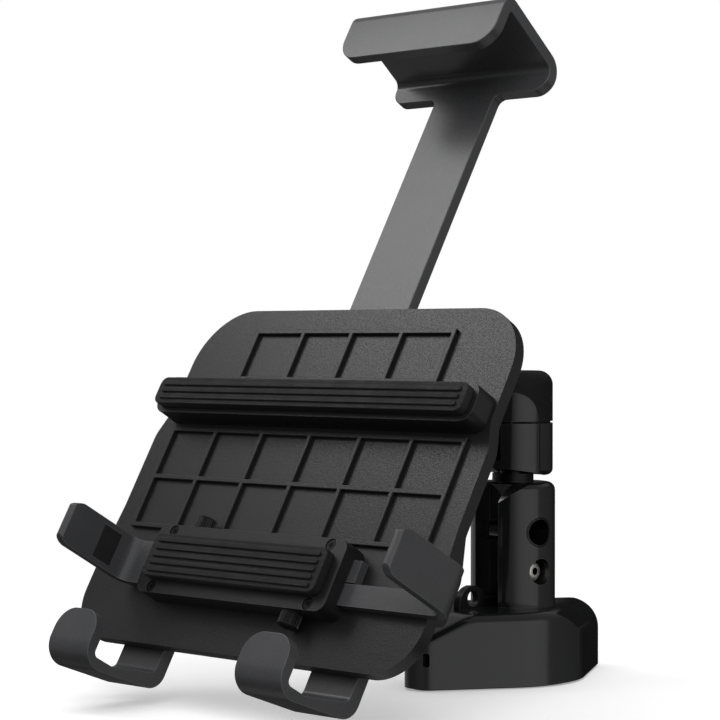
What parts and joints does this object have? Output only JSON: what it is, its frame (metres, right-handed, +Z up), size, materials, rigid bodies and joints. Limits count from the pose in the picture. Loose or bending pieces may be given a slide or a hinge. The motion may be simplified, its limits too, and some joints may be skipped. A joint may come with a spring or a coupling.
{
  "type": "tablet desk stand",
  "caption": "Anti-theft desk stand that grips a tablet's edges with hooks and sliding clips, on a tilting arm and swivel head over a heavy base.",
  "frame": {"origin": "on the desk, under the post's axis", "axes": "+Z up, -Y to the front where the tablet is, +X to the right as seen from the front"},
  "size_m": [0.1847, 0.2251, 0.2536],
  "materials": {
    "base_paint": "satin black powder coat on cast zinc",
    "ballast_steel": "plain blackened steel",
    "foot_rubber": "matte black",
    "zinc_steel": "zinc plated",
    "bright_steel": "bright stainless",
    "post_paint": "satin black powder coat on steel",
    "head_paint": "satin black coat on cast aluminium",
    "arm_paint": "satin black coat on aluminium",
    "plate_plastic": "fine-grained black ABS",
    "clip_paint": "satin black coat on bent aluminium",
    "pad_rubber": "matte black",
    "black_screw": "black oxide steel",
    "lock_chrome": "satin chrome",
    "washer_nylon": "natural nylon"
  },
  "bodies": {
    "base": {"base_shell": "base_paint", "base_ballast": "ballast_steel", "foot_pad": "foot_rubber", "lock_plate": "zinc_steel", "post_bolts": "zinc_steel", "post": "post_paint", "cable_bush": "black_screw", "cable_eye": "black_screw", "lock_screw": "bright_steel", "neck": "black_screw", "neck_pin": "zinc_steel", "stop_pin": "zinc_steel", "swivel_washer": "zinc_steel", "swivel_nut": "zinc_steel"},
    "head": {"head_lower": "head_paint", "head_upper": "head_paint", "head_shim": "pad_rubber", "head_screws": "black_screw", "tilt_pin": "zinc_steel", "tilt_washer_left": "washer_nylon", "tilt_washer_right": "washer_nylon"},
    "holder": {"arm": "arm_paint", "bracket_screws": "black_screw", "back_plate": "plate_plastic", "hook_left": "clip_paint", "hook_right": "clip_paint", "hook_screws": "black_screw", "hook_pad_left": "pad_rubber", "hook_pad_right": "pad_rubber", "arm_guide": "plate_plastic", "guide_screws": "black_screw", "clamp_screw_left": "black_screw", "clamp_screw_right": "black_screw", "lower_cushion": "pad_rubber", "upper_rest": "plate_plastic", "upper_cushion": "pad_rubber", "rest_screws": "black_screw", "lock_housing": "plate_plastic", "housing_screws": "black_screw"},
    "lock": {"lock_barrel": "lock_chrome", "lock_cam": "zinc_steel"},
    "top_arm": {"top_arm": "clip_paint", "top_pad": "pad_rubber"},
    "left_arm": {"left_arm": "clip_paint", "left_pad": "pad_rubber"},
    "right_arm": {"right_arm": "clip_paint", "right_pad": "pad_rubber"}
  },
  "joints": [
    {"name": "head_swivel", "type": "hinge", "parent": "base", "child": "head", "pos_m": [0, 0, 0.08], "axis": [0, 0, 1], "range_deg": [-90, 90]},
    {"name": "arm_tilt", "type": "hinge", "parent": "head", "child": "holder", "pos_m": [0, 0, 0.0983], "axis": [-1, 0, 0], "range_deg": [0, 40]},
    {"name": "top_arm_slide", "type": "slide", "parent": "holder", "child": "top_arm", "axis": [0, 0.5, 0.866], "range_m": [-0.032, 0.024]},
    {"name": "left_arm_slide", "type": "slide", "parent": "holder", "child": "left_arm", "axis": [-1, 0, 0], "range_m": [-0.001, 0.048]},
    {"name": "right_arm_slide", "type": "slide", "parent": "holder", "child": "right_arm", "axis": [1, 0, 0], "range_m": [-0.033, 0.016]},
    {"name": "lock_turn", "type": "hinge", "parent": "holder", "child": "lock", "pos_m": [0.025, -0.12082, 0.0482], "axis": [0, 0.866, -0.5], "range_deg": [0, 90]}
  ]
}
